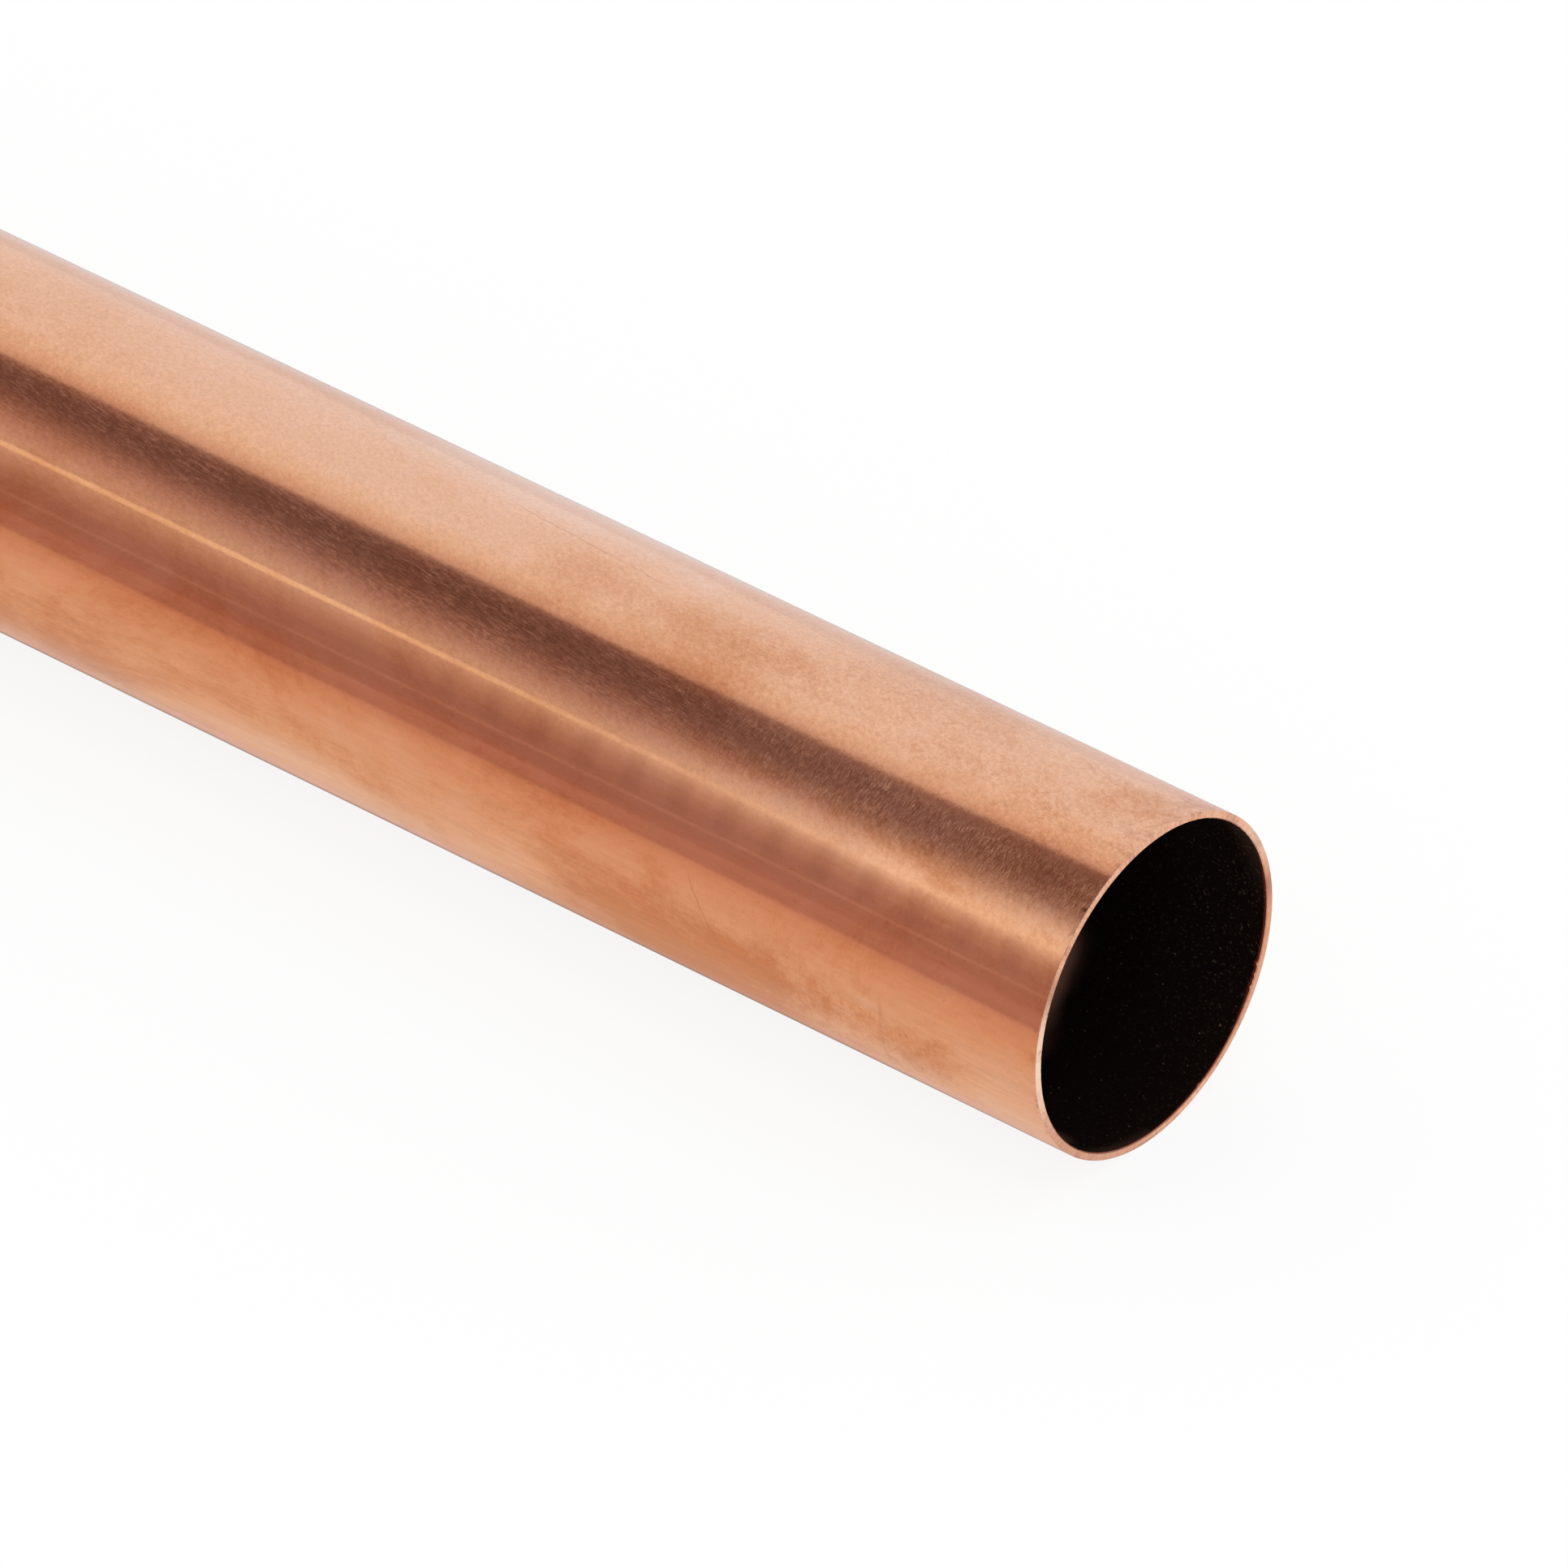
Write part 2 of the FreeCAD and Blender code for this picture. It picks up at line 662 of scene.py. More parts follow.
    def film(self, at: "WornPlace", ragged: Socket, speckle: Socket) -> Socket:
        """How pale or browned the film is: its clouds with the finer grain.

        Args:
            at: Where a point lies.
            ragged: The noise that frays the clouds.
            speckle: The finest noise.

        Returns:
            The film, below 0 where it is browned and above 0 where it is pale.
        """
        n = at.n
        fine = n.times(n.fade(at.handled, self.speckle_by_wear), n.fade(at.angle, self.speckle_below))
        above = n.times(n.fade(at.handled, self.wrinkles_by_wear), n.fade(at.height, self.wrinkles_above))
        below = n.times(at.handled, n.fade(at.angle, self.wrinkles_below))
        film = n.plus(
            n.swing(n.noise(self.cloudy), n.fade(at.height, self.cloudy_above)),
            n.swing(speckle, fine),
            n.swing(at.wear, self.wear_in_film),
            n.swing(n.noise(self.wrinkles), n.plus(above, below)))
        frayed = n.plus(n.swing(ragged, n.fade(at.height, self.ragged_above)), 0.5)
        return n.plus(film, *(at.patch(cloud, frayed) for cloud in self.clouds()))

    def pits(self, at: "WornPlace") -> Socket:
        """Tiny dark pits and short strokes, more of them on the handled stretch.

        Args:
            at: Where a point lies.

        Returns:
            How dark a point is.
        """
        n = at.n
        dark = n.fade(n.noise(self.strokes), self.strokes_dark)
        sparse = n.fade(n.noise(self.sparse), self.sparse_edge)
        return n.times(dark, sparse, n.fade(at.handled, self.strokes_by_wear))

    def chatter(self, at: "WornPlace") -> Socket:
        """Soft marks at an even pitch that the drawing left along the front, near the mouth.

        Args:
            at: Where a point lies.

        Returns:
            How dark a point is.
        """
        n = at.n
        along = n.minus(at.from_mouth, self.chatter_start)
        beat = n.fade(n.maths("COSINE", n.times(along, 2 * math.pi / self.chatter_pitch)), self.chatter_dark)
        band = n.fade(n.apart(at.angle, self.chatter_angle), self.chatter_across)
        return n.times(beat, band, n.fade(at.from_mouth, self.chatter_along))

    def stains(self, at: "WornPlace") -> Socket:
        """Brown stains and dots that gather near the cut edges.

        Args:
            at: Where a point lies.

        Returns:
            How brown a point is.
        """
        n = at.n
        blots = n.fade(n.noise(self.stained), self.stained_edge)
        near = n.times(n.fade(at.from_cut, self.stained_along), blots)
        side = n.times(n.fade(at.height, self.stained_above), n.fade(at.angle, self.stained_behind))
        dots = n.times(n.fade(n.noise(self.dots), self.dots_edge), n.fade(at.from_cut, self.dots_along))
        return n.maths("MAXIMUM", n.times(near, side), dots)

    def gloss(self, at: "WornPlace") -> Socket:
        """Roughness: polished metal, dulled along the hairlines and in patches.

        Args:
            at: Where a point lies.

        Returns:
            The roughness.
        """
        n = at.n
        dulled = n.times(
            n.spread(at.wear, n.fade(at.handled, self.lines_from), n.fade(at.handled, self.lines_to)),
            n.fade(n.noise(self.dull), self.dull_edge),
            n.fade(at.handled, self.dull_by_wear),
            n.fade(at.angle, self.dull_below),
            n.fade(n.apart(at.angle, self.band_angle), self.band_across),
            n.minus(1.0, at.patch(self.smooth_spot)))
        return n.plus(dulled, self.polish)

    def relief(self, at: "WornPlace") -> Socket:
        """Fine grain and hairlines, strongest near the mouth and above.

        Args:
            at: Where a point lies.

        Returns:
            The bumped normal.
        """
        n = at.n
        height = n.plus(n.noise(self.relief_grain), n.times(at.wear, self.relief_wear))
        shown = n.times(n.fade(at.handled, self.relief_by_wear), n.fade(at.angle, self.relief_below))
        return n.bump(n.times(height, shown), self.relief_depth, self.relief_strength)


class WornPlace(TubePlace):
    """Where a point lies on the skin, and how it is handled and worn there."""

    def __init__(self, n: Nodes, skin: DrawnSkin) -> None:
        """Works out the handled stretch and the hairlines: round the tube there, and along it farther in.

        Args:
            n: The material's nodes.
            skin: The skin's finish.
        """
        super().__init__(n, skin.mouth_x, skin.axis_height, skin.radius)
        self.handled = n.fade(self.from_mouth, skin.handled)
        along, round_it = n.noise(skin.rubbed_along), n.noise(skin.rubbed_round)
        self.wear = n.mix("FLOAT", "Float", self.handled, along, round_it)


@dataclass(frozen=True)
class SawnFace:
    """The cut ends: fresh salmon copper with the saw's marks, a little tarnish and a red reamed edge."""

    mouth_x: float
    axis_height: float
    radius: float
    wall: float
    colour: Colour = (0.90, 0.53, 0.37)
    warm: Colour = (0.74, 0.36, 0.22)
    shade: Colour = (0.45, 0.20, 0.13)
    pale: Colour = (0.99, 0.80, 0.66)
    wine: Colour = (0.30, 0.07, 0.04)
    marks: Grain = Grain(55, 4, 0.7)
    marks_across: float = 0.25
    marks_edge: Fade = Fade(0.40, 0.66)
    marks_depth: float = 0.05 * MM
    marks_strength: float = 0.5
    back_angle: float = -108.0
    back_across: Fade = Fade(36.0, 48.0, 0.7, 0.0)
    tarnish: Grain = Grain(260, 6, 0.75)
    tarnish_edge: Fade = Fade(0.51, 0.68, 0.0, 0.65)
    streaked: Patch = Patch(0.0, 152, 3 * MM, 32, 0.33)
    reamed: Fade = Fade(0.08 * MM, 0.17 * MM, 0.85, 0.0)
    reamed_above: Fade = Fade(5 * MM, 15 * MM, 1.0, 0.25)
    roughness: float = 0.38

    def material(self) -> bpy.types.Material:
        """Builds the finish.

        Returns:
            The cut face's material.
        """
        n = Nodes(bpy.data.materials.new("sawn_copper"))
        place = TubePlace(n, self.mouth_x, self.axis_height, self.radius)
        marks = self.radial_marks(n, place)
        tarnish = n.noise(self.tarnish)
        metal = n.blend(n.fade(marks, self.marks_edge), self.colour, self.warm)
        metal = n.blend(n.fade(n.apart(place.angle, self.back_angle), self.back_across), metal, self.warm)
        for side in self.pale_sides():
            metal = n.blend(place.patch(side), metal, self.pale)
        metal = n.blend(n.fade(tarnish, self.tarnish_edge), metal, self.shade)
        for cloud in self.clouds():
            metal = n.blend(place.patch(cloud, tarnish), metal, self.shade)
        metal = n.blend(place.patch(self.streaked, marks), metal, self.shade)
        off_bore = n.minus(place.from_axis, self.radius - self.wall)
        red = n.times(n.fade(off_bore, self.reamed), n.fade(place.over_floor, self.reamed_above))
        return n.surface(
            Metallic=1.0,
            Base_Color=n.blend(red, metal, self.wine),
            Roughness=self.roughness,
            Normal=n.bump(marks, self.marks_depth, self.marks_strength))

    def pale_sides(self) -> list[Patch]:
        """The two stretches of the cut that are paler than the rest."""
        return [
            Patch(0.0, -61, 3 * MM, 14, 0.45),
            Patch(0.0, 88, 3 * MM, 25, 0.80),
        ]

    def clouds(self) -> list[Patch]:
        """The brown stains on the mouth's cut."""
        return [
            Patch(0.0, -83, 3 * MM, 7, 0.75),
            Patch(0.0, -62, 3 * MM, 4, 0.40),
            Patch(0.0, -40, 3 * MM, 4, 0.30),
            Patch(0.0, 64, 3 * MM, 9, 0.62),
            Patch(0.0, 124, 3 * MM, 16, 0.30),
        ]

    def radial_marks(self, n: Nodes, place: TubePlace) -> Socket:
        """Noise that changes round the cut but hardly across it, as the cutter left it.

        Args:
            n: The material's nodes.
            place: Where a point lies.

        Returns:
            The noise.
        """
        turn = n.times(place.angle, -math.radians(1))
        across = n.times(place.from_axis, self.marks_across / self.radius)
        join = n.add("CombineXYZ")
        for socket, value in zip(join.inputs, (n.maths("SINE", turn), n.maths("COSINE", turn), across)):
            n.feed(socket, value)
        return n.noise(self.marks, join.outputs[0])


@dataclass(frozen=True)
class BlackenedBore:
    """The inside: black oxide, a little browner in places, with a painted glow deep on the far wall and pale
    specks of dust.
    """

    mouth_x: float
    axis_height: float
    radius: float
    black: Colour = (0.0075, 0.0038, 0.0028)
    # Brown of the bore's browner patches, and of the painted glow on the far wall.
    browned: Colour = (0.60, 0.28, 0.21)
    dust: Colour = (0.34, 0.22, 0.15)
    wine: Colour = (0.20, 0.035, 0.022)
    fringe_along: Fade = Fade(0.25 * MM, 0.75 * MM, 0.9, 0.0)
    fringe_angle: float = -98.0
    fringe_across: Fade = Fade(20.0, 40.0, 1.0, 0.1)
    fine: Grain = Grain(2200, 2, 0.6, along=0.7)
    fine_edge: Fade = Fade(0.56, 0.76, 0.0, 0.215)
    fine_along: Fade = Fade(0.0, 26 * MM, 0.9, 0.4)
    fine_angle: float = -75.0
    fine_across: Fade = Fade(15.0, 95.0, 0.9, 0.35)
    few: Grain = Grain(2000, 1, 0.4, along=0.6, turn=35)
    few_edge: Fade = Fade(0.755, 0.80, 0.0, 0.42)
    roughness: float = 0.9
    sheen: float = 0.02

    def material(self) -> bpy.types.Material:
        """Builds the finish.

        Returns:
            The bore's material.
        """
        n = Nodes(bpy.data.materials.new("blackened_bore"))
        place = TubePlace(n, self.mouth_x, self.axis_height, self.radius)
        colour = self.black
        for cloud in self.clouds():
            colour = n.blend(place.patch(cloud), colour, self.browned)
        fringe = n.fade(n.apart(place.angle, self.fringe_angle), self.fringe_across)
        fringe = n.times(fringe, n.fade(place.from_mouth, self.fringe_along))
        colour = n.blend(fringe, colour, self.wine)
        return n.surface(
            Base_Color=n.blend(self.specks(n, place), colour, self.dust),
            Roughness=self.roughness,
            Specular_IOR_Level=self.sheen)

    def clouds(self) -> list[Patch]:
        """Where the bore is browner: a painted glow deep on the far wall, just past the lip's edge, and
        faint patches near the lip.
        """
        return [
            # Painted light: a soft glow deep on the far wall, following the lip's edge.
            Patch(32.0 * MM, -139, 3.3 * MM, 12, 0.9),
            Patch(30.9 * MM, -150, 3.3 * MM, 10, 0.75),
            Patch(29.0 * MM, -159, 3.2 * MM, 9, 0.4),
            Patch(30.5 * MM, -143, 3.6 * MM, 18, 0.18),
            Patch(26.0 * MM, -172, 3 * MM, 13, 0.12),
            # Faint brown patches near the lip.
            Patch(0.0, -56, 4 * MM, 32, 0.055),
            Patch(7.5 * MM, 143, 4 * MM, 10, 0.22),
            Patch(0.0, 163, 1.8 * MM, 28, 0.06),
        ]

    def specks(self, n: Nodes, place: TubePlace) -> Socket:
        """Dust: many faint specks, thickest near the top of the mouth, and a few bright ones.

        Args:
            n: The material's nodes.
            place: Where a point lies.

        Returns:
            How dusty a point is.
        """
        side = n.fade(n.apart(place.angle, self.fine_angle), self.fine_across)
        fine = n.times(n.fade(n.noise(self.fine), self.fine_edge), side,
                       n.fade(place.from_mouth, self.fine_along))
        return n.maths("ADD", fine, n.fade(n.noise(self.few), self.few_edge), clamp=True)


@dataclass
class CopperTube:
    """The whole pipe length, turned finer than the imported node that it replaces."""

    half_length: float
    radius: float
    axis_height: float
    wall: float = 1.2 * MM
    arris: float = 0.2 * MM
    arris_steps: int = 4
    reamed: float = 0.15 * MM
    sides: int = 720
    rings: int = 24
    unevenness: float = 0.07 * MM
    waves: float = 34.0
    slack: float = 0.01 * MM
    cut_slant: float = 0.35
    smooth_under: float = 35.0

    @classmethod
    def from_frame(cls) -> "CopperTube":
        """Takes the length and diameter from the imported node.

        Returns:
            The tube.
        """
        low, high = (Vector(corner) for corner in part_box(NODE))
        radius = (high.z - low.z) / 2
        return cls(half_length=(high.x - low.x) / 2, radius=radius, axis_height=low.z + radius)

    def build(self) -> bpy.types.Object:
        """Models the tube and dresses it.

        Returns:
            The finished piece.
        """
        tube = self.shell()
        self.give_wall(tube)
        self.ease_edges(tube, True, self.arris, self.arris_steps)
        self.ease_edges(tube, False, self.reamed, 1)
        self.roughen_lips(tube)
        self.dress(tube)
        bpy.ops.object.shade_smooth_by_angle(angle=math.radians(self.smooth_under))
        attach(tube, "root")
        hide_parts(NODE)
        return tube

    def shell(self) -> bpy.types.Object:
        """The outer surface: an open cylinder, divided along its length.

        Returns:
            The open shell.
        """
        bpy.ops.object.select_all(action="DESELECT")
        bpy.ops.mesh.primitive_cylinder_add(
            vertices=self.sides, radius=self.radius, depth=2 * self.half_length, end_fill_type="NOTHING",
            location=(0, 0, self.axis_height), rotation=(0, math.pi / 2, 0))
        tube = bpy.context.object
        tube.name = "pipe_length"
        bpy.ops.object.transform_apply(location=True, rotation=True, scale=True)
        bpy.ops.object.mode_set(mode="EDIT")
        self.select_edges(tube, lambda a, b: abs(a.x - b.x) > self.half_length)
        bpy.ops.mesh.subdivide(number_cuts=self.rings)
        bpy.ops.object.mode_set(mode="OBJECT")
        return tube

    def give_wall(self, tube: bpy.types.Object) -> None:
        """Thickens the shell inwards by the wall.

        Args:
            tube: The open shell.
        """
        wall = tube.modifiers.new("wall", "SOLIDIFY")
        wall.thickness = self.wall
        wall.offset = -1
        wall.use_even_offset = True
        bpy.ops.object.modifier_apply(modifier=wall.name)

    def ease_edges(self, tube: bpy.types.Object, outside: bool, offset: float, segments: int) -> None:
        """Rounds the outer arris of both cuts, or reams the bore's edges.

        Args:
            tube: The tube with its wall.
            outside: Whether it is the outer edge.
            offset: How wide the eased edge is.
            segments: How many faces it has across.
        """
        bpy.ops.object.mode_set(mode="EDIT")
        self.select_edges(tube, lambda *ends: all(
            self.at_end(end) and self.in_outer_half(end) == outside for end in ends))
        bpy.ops.mesh.bevel(offset=offset, segments=segments, profile=0.5, affect="EDGES")
        bpy.ops.object.mode_set(mode="OBJECT")

    def burrs(self) -> list[Burr]:
        """The curls of metal that the cutter left on the mouth's inner lip."""
        return [
            Burr(-111.5, 1.2, 0.46 * MM),
            Burr(-115.2, 0.9, 0.30 * MM),
            Burr(-117.4, 0.7, 0.22 * MM),
            Burr(-119.6, 1.0, 0.32 * MM),
            Burr(-156.0, 0.9, 0.28 * MM),
            Burr(-84.0, 0.6, 0.12 * MM),
            Burr(71.0, 0.6, 0.10 * MM),
        ]

    def roughen_lips(self, tube: bpy.types.Object) -> None:
        """Makes the inner lips of both cuts slightly uneven, and raises the burrs inwards.

        Args:
            tube: The tube with its eased edges.
        """
        for vertex in tube.data.vertices:
            place = vertex.co
            if self.half_length - abs(place.x) > self.reamed + self.slack or self.in_outer_half(place):
                continue
            out = Vector((0, place.y, place.z - self.axis_height)).normalized()
            rough = noise.noise(Vector((place.x, out.y, out.z)) * self.waves)
            move = self.unevenness * (rough - 1) / 2
            if place.x > 0:
                angle = math.degrees(math.atan2(-out.y, out.z))
                for burr in self.burrs():
                    share = 1 - abs(angle - burr.angle) / burr.half_angle
                    move -= burr.height * max(0.0, share)
            vertex.co = place + out * move

    def dress(self, tube: bpy.types.Object) -> None:
        """Gives each surface its finish.

        Args:
            tube: The finished mesh.
        """
        finishes = {
            Zone.SKIN: DrawnSkin(self.half_length, self.axis_height, self.radius),
            Zone.SAWN_FACE: SawnFace(self.half_length, self.axis_height, self.radius, self.wall),
            Zone.BORE: BlackenedBore(self.half_length, self.axis_height, self.radius),
        }
        for zone in Zone:
            tube.data.materials.append(finishes[zone].material())
        for face in tube.data.polygons:
            face.material_index = self.zone(face).value

    def zone(self, face: bpy.types.MeshPolygon) -> Zone:
        """Which surface a face belongs to.

        Args:
            face: The face.

        Returns:
            Its surface.
        """
        outwards = Vector((0, face.center.y, face.center.z - self.axis_height)).normalized()
        if abs(face.normal.x) > self.cut_slant:
            return Zone.SAWN_FACE
        return Zone.SKIN if face.normal.dot(outwards) > 0 else Zone.BORE

    def in_outer_half(self, point: Vector) -> bool:
        """Whether a point lies in the outer half of the wall."""
        return math.hypot(point.y, point.z - self.axis_height) > self.radius - self.wall / 2

    def at_end(self, point: Vector) -> bool:
        """Whether a point lies in one of the two cuts."""
        return abs(abs(point.x) - self.half_length) < self.slack

    @staticmethod
    def select_edges(tube: bpy.types.Object, wanted: Callable[[Vector, Vector], bool]) -> None:
        """Selects the edges whose two ends pass a test, in edit mode.

        Args:
            tube: The object in edit mode.
            wanted: A test of an edge's two end points.
        """
        bpy.ops.mesh.select_mode(type="EDGE")
        bpy.ops.mesh.select_all(action="DESELECT")
        mesh = bmesh.from_edit_mesh(tube.data)
        for edge in mesh.edges:
            edge.select_set(wanted(edge.verts[0].co, edge.verts[1].co))
        bmesh.update_edit_mesh(tube.data)


@dataclass(frozen=True)
class Tone:
    """One stop of the card's shading: an angle round the tube from straight up, and its light."""

    angle: float
    light: Colour


@dataclass(frozen=True)
class Glow:
    """Light added to the card: its colour, middle angle, and how it fades round and along the tube."""

    light: Colour
    along: Fade
    angle: float = 0.0
    across: Fade = Fade(0.0, 1.0, 1.0, 1.0)


@dataclass
class Studio:
    """A white surround, a pale floor and a curved grey card with one light strip on the camera's side."""

    axis_height: float
    mouth_x: float
    mirrored_surround: Colour = (0.93, 1.0, 1.05)
    card_radius: float = 0.9
    card_half_length: float = 2.2
    card_top: float = -26.0
    card_foot: float = 95.0
    card_steps: int = 121
    near_mouth: Fade = Fade(-0.14, -0.005)
    far_end: Fade = Fade(-0.245, -0.20, 1.0, 0.0)
    band_slope: Fade = Fade(-0.25, -0.13, 1.9, 0.0)
    band_step: Fade = Fade(-0.13, -0.085, 1.4, 0.3)
    band_across: Fade = Fade(4.0, 12.0, 1.0, 0.0)
    floor_size: float = 40.0
    sheet_reach: float = 0.2
    shadow_share: float = 0.12
    under_axis: Fade = Fade(-4 * MM, 4 * MM)
    # Past the mouth the mirrored floor is brighter, clear of the tube's painted shadow.
    open_floor: Colour = (0.97, 0.93, 0.90)
    open_floor_blur: float = 0.6 * MM

    def build(self) -> None:
        """Sets up the surround, the floor and the card."""
        self.surround()
        self.floor()
        self.card()

    def surround(self) -> None:
        """The world: white where it is seen and as light, and slightly cooler where metal mirrors it."""
        world = bpy.data.worlds.new("white_surround")
        bpy.context.scene.world = world
        n = Nodes(world)
        glossy = n.add("LightPath").outputs["Is Glossy Ray"]
        lit = n.pick(glossy, n.light("Background", WHITE), n.light("Background", self.mirrored_surround))
        n.feed(n.output.inputs["Surface"], lit)

    def floor(self) -> None:
        """The floor: white to the eye apart from the tube's soft shadow; in the metal, an emitting white
        sheet with a painted shadow of the tube near its contact line.
        """
        bpy.ops.object.select_all(action="DESELECT")
        bpy.ops.mesh.primitive_plane_add(size=self.floor_size)
        floor = bpy.context.object
        floor.name = "studio_floor"
        n = Nodes(bpy.data.materials.new("white_floor"))
        x, y, _ = n.axes()
        front = n.ramp(n.maths("DIVIDE", n.times(y, -1.0), self.sheet_reach), self.sheet_tones())
        back = n.ramp(n.maths("DIVIDE", y, self.sheet_reach), self.back_tones())
        mirrored = n.blend(n.fade(y, self.under_axis), front, back)
        past_mouth = n.spread(x, self.mouth_x, self.mouth_x + self.open_floor_blur)
        mirrored = n.blend(past_mouth, mirrored, self.open_floor)
        path = n.add("LightPath")
        lit = n.light("BsdfDiffuse", WHITE)
        seen = n.pick(self.shadow_share, n.light("Emission", WHITE), lit)
        unseen = n.pick(path.outputs["Is Glossy Ray"], lit, n.light("Emission", mirrored))
        n.feed(n.output.inputs["Surface"], n.pick(path.outputs["Is Camera Ray"], unseen, seen))
        floor.data.materials.append(n.owner)

    def sheet_tones(self) -> list[tuple[float, Colour]]:
        """The light off the floor in front of the tube, from its contact line to the white sheet's end,
        darkest at the contact line as a painted shadow.
        """
        return [
            (0.04, (0.38, 0.28, 0.24)),
            (0.065, (0.45, 0.31, 0.26)),
            (0.072, (0.59, 0.43, 0.37)),
            (0.079, (0.78, 0.62, 0.54)),
            (0.09, (0.82, 0.70, 0.62)),
            (0.12, (0.87, 0.84, 0.75)),
            (0.22, (0.85, 0.80, 0.73)),
            (0.38, (0.81, 0.67, 0.56)),
            (0.55, (0.75, 0.57, 0.45)),
            (0.80, (0.67, 0.47, 0.38)),
            (0.92, (0.52, 0.335, 0.30)),
        ]

    def back_tones(self) -> list[tuple[float, Colour]]:
        """The light off the floor behind the tube, from its contact line outwards, darker near the tube as a
        painted shadow.
        """
        return [
            (0.03, (0.58, 0.52, 0.50)),
            (0.30, (0.56, 0.54, 0.55)),
            (0.45, (0.72, 0.72, 0.73)),
            (0.52, (0.79, 0.79, 0.80)),
            (0.65, (0.84, 0.84, 0.85)),
        ]

    def tones(self) -> list[Tone]:
        """The card's shading from its top edge to its foot, with a soft glow round the strip."""
        return [
            Tone(-26.0, (0.93, 1.00, 1.05)),
            Tone(-15.0, (0.91, 0.92, 0.87)),
            Tone(-7.0, (0.80, 0.72, 0.64)),
            Tone(-1.5, (0.68, 0.56, 0.50)),
            Tone(1.0, (0.26, 0.175, 0.17)),
            Tone(8.0, (0.183, 0.116, 0.113)),
            Tone(17.0, (0.172, 0.111, 0.107)),
            Tone(25.0, (0.222, 0.146, 0.138)),
            Tone(33.0, (0.330, 0.230, 0.225)),
            Tone(41.0, (0.505, 0.400, 0.385)),
            Tone(49.0, (0.665, 0.580, 0.545)),
            Tone(57.0, (0.650, 0.540, 0.480)),
            Tone(65.0, (0.510, 0.371, 0.325)),
            Tone(73.0, (0.420, 0.276, 0.259)),
            Tone(79.5, (0.405, 0.262, 0.245)),
            Tone(80.8, (0.510, 0.350, 0.320)),
            Tone(82.1, (0.410, 0.262, 0.243)),
            Tone(86.0, (0.415, 0.260, 0.240)),
            Tone(89.0, (0.440, 0.266, 0.241)),
            Tone(95.0, (0.458, 0.287, 0.264)),
        ]

    def glows(self) -> list[Glow]:
        """What the card's light changes by along the tube: the wide glow, the far end and the strip."""
        return [
            Glow((0.27, 0.36, 0.345), self.near_mouth, 45.5, Fade(0.0, 21.5, 1.0, 0.0)),
            Glow((0.075, 0.055, 0.05), self.far_end, 36.0, Fade(0.0, 16.0, 1.0, 0.0)),
            Glow((0.022, 0.018, 0.018), self.far_end),
            Glow((0.042, 0.031, 0.026), self.near_mouth),
            Glow((0.30, 0.36, 0.22), Fade(-0.20, -0.075, 1.0, 0.12), 53.8, Fade(1.2, 1.8, 1.0, 0.0)),
            Glow((0.085, 0.10, 0.085), Fade(-0.20, -0.075, 0.15, 1.0), 53.8, Fade(0.0, 6.5, 1.0, 0.0)),
        ]

    def card(self) -> None:
        """The curved card: an arc swept along the tube, seen only in the metal."""
        bpy.ops.object.select_all(action="DESELECT")
        bpy.ops.mesh.primitive_grid_add(x_subdivisions=1, y_subdivisions=self.card_steps, size=1)
        card = bpy.context.object
        card.name = "shaded_card"
        for vertex in card.data.vertices:
            share = vertex.co.y + 0.5
            angle = math.radians(self.card_top + share * (self.card_foot - self.card_top))
            lift = self.card_radius * math.cos(angle)
            vertex.co = (vertex.co.x * 2 * self.card_half_length, -self.card_radius * math.sin(angle),
                         self.axis_height + lift)
        card.data.materials.append(self.card_shading())
        for ray in ("camera", "shadow", "diffuse", "transmission"):
            setattr(card, "visible_" + ray, False)

    def card_shading(self) -> bpy.types.Material:
        """The card's light: its tones round the tube, moved a little along it, and its glows.

        Returns:
            The card's material.
        """
        n = Nodes(bpy.data.materials.new("card_shading"))
        x, y, z = n.axes()
        turn = n.maths("ARCTAN2", n.times(y, -1.0), n.minus(z, self.axis_height))
        degrees = n.times(turn, math.degrees(1))
        moved = n.plus(n.fade(x, self.band_step), n.fade(x, self.band_slope))
        moved = n.times(moved, n.fade(degrees, self.band_across))
        tones = self.tones()
        top = tones[0].angle
        reach = tones[-1].angle - top
        share = n.maths("DIVIDE", n.minus(degrees, moved, top), reach)
        light = n.ramp(share, [((tone.angle - top) / reach, tone.light) for tone in tones])
        for glow in self.glows():
            across = n.fade(n.apart(degrees, glow.angle), glow.across)
            amount = n.times(n.fade(x, glow.along), across)
            light = n.blend(1.0, light, n.blend(amount, BLACK, glow.light), "ADD")
        n.feed(n.output.inputs["Surface"], n.light("Emission", light))
        return n.owner


@dataclass(frozen=True)
class PhotoCamera:
    """The camera, placed and turned as the photograph's was."""

    tube: CopperTube
    lens: float = 458.1
    sensor: float = 36.0
    looks_down: float = 35.50
    turned: float = 39.62
    distance: float = 2.8484
    aim_from_mouth: tuple[float, float, float] = (-0.05157, -0.02078, 0.02341)
    nearest: float = 0.05
    farthest: float = 100.0

    def build(self) -> None:
        """Makes the camera and sets it as the scene's."""
        data = bpy.data.cameras.new("photo_camera")
        data.lens = self.lens
        data.sensor_width = self.sensor
        data.clip_start = self.nearest
        data.clip_end = self.farthest
        camera = bpy.data.objects.new("photo_camera", data)
        bpy.context.scene.collection.objects.link(camera)
        camera.rotation_euler = (math.radians(90 - self.looks_down), 0, math.radians(self.turned))
        mouth = Vector((self.tube.half_length, 0, self.tube.axis_height))
        back = camera.rotation_euler.to_matrix() @ Vector((0, 0, self.distance))
        camera.location = mouth + Vector(self.aim_from_mouth) + back
        bpy.context.scene.camera = camera


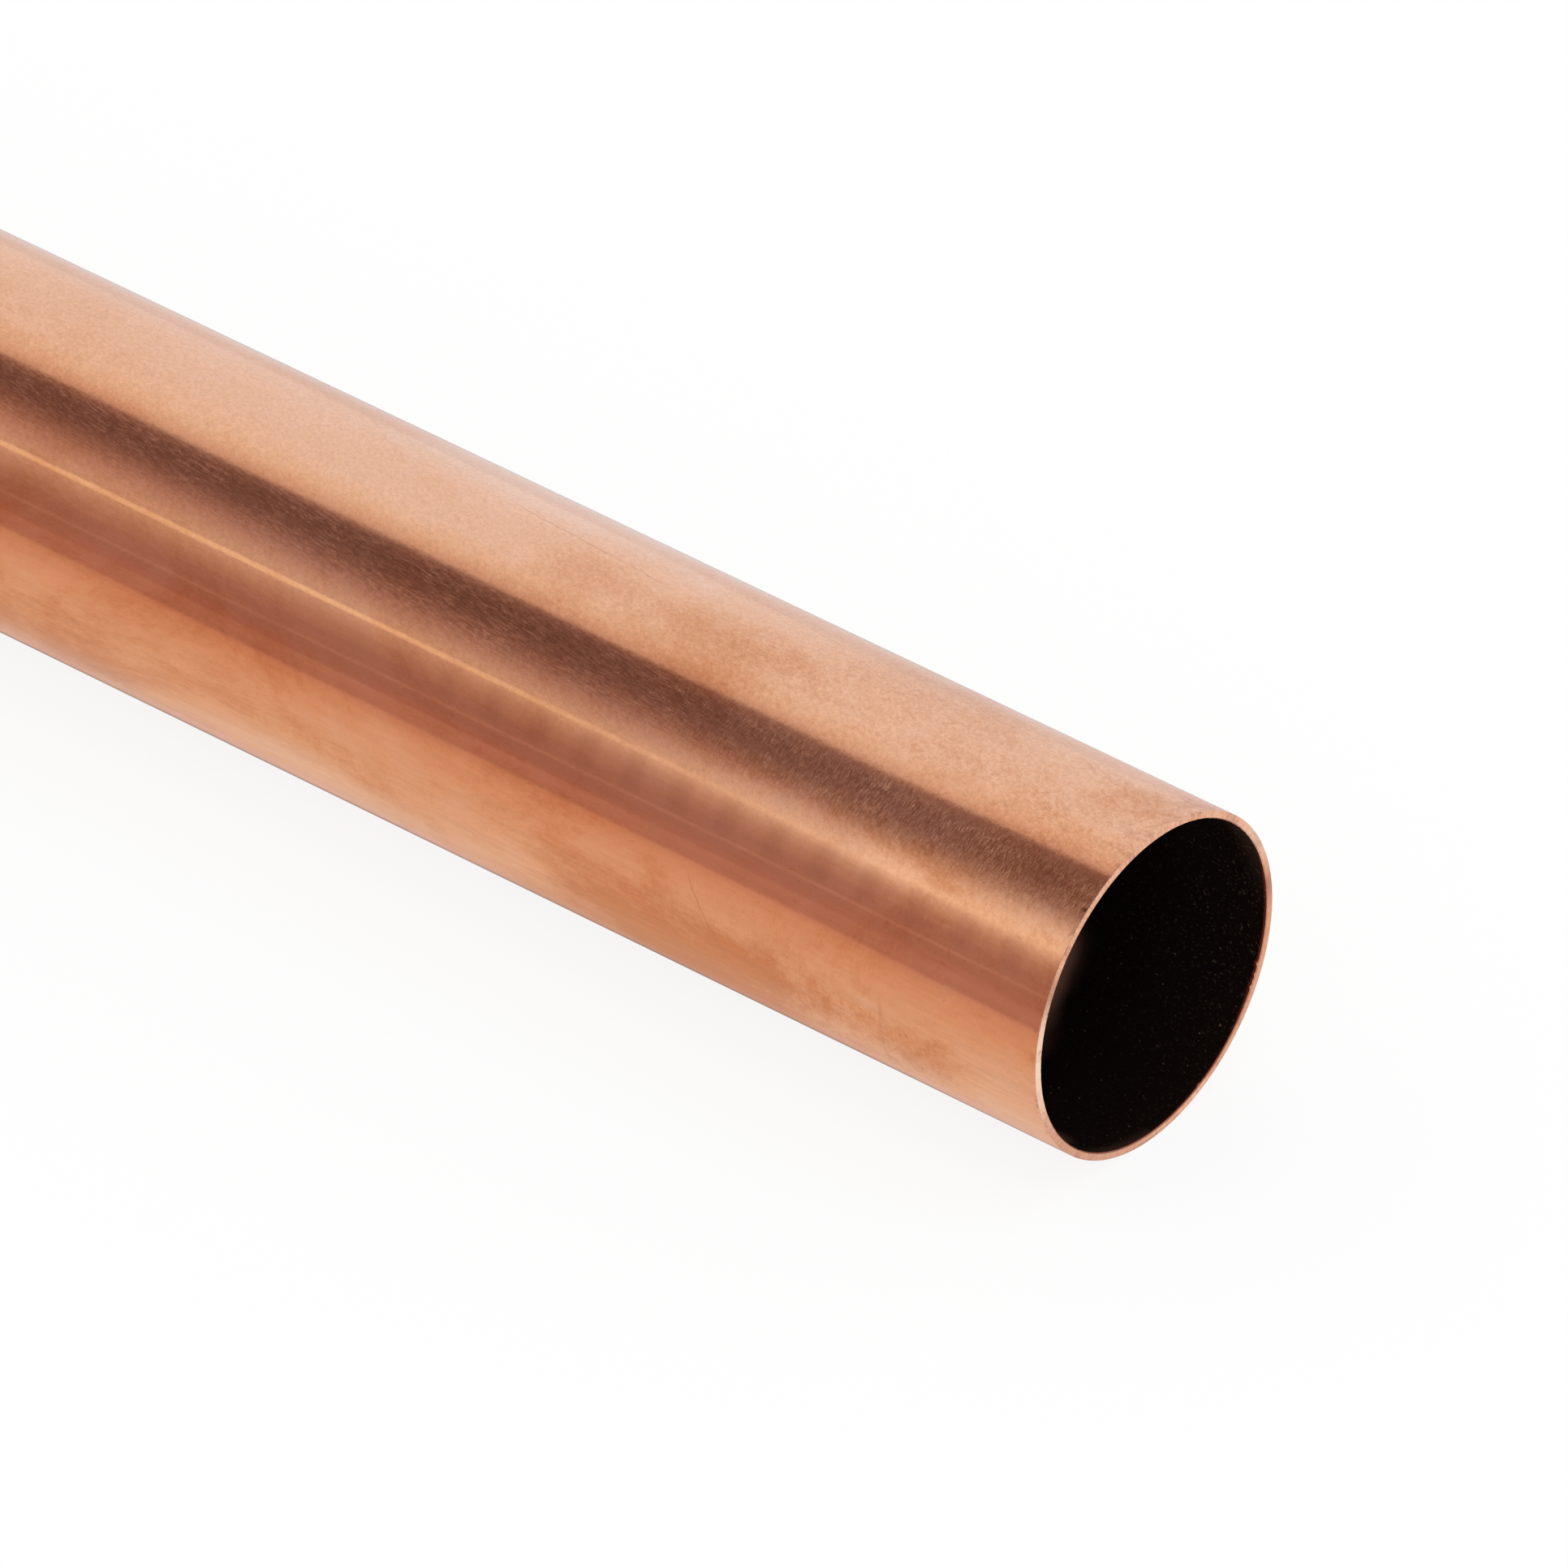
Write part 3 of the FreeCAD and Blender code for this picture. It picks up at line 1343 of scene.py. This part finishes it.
def main() -> None:
    """Builds the tube, the studio and the camera."""
    logging.basicConfig(level=logging.INFO, format="%(message)s")
    bpy.context.scene.view_settings.view_transform = "Standard"
    tube = CopperTube.from_frame()
    piece = tube.build()
    log.info("%s: %d faces", piece.name, len(piece.data.polygons))
    Studio(tube.axis_height, tube.half_length).build()
    PhotoCamera(tube).build()
    bpy.context.view_layer.update()


if __name__ == "__main__":
    main()
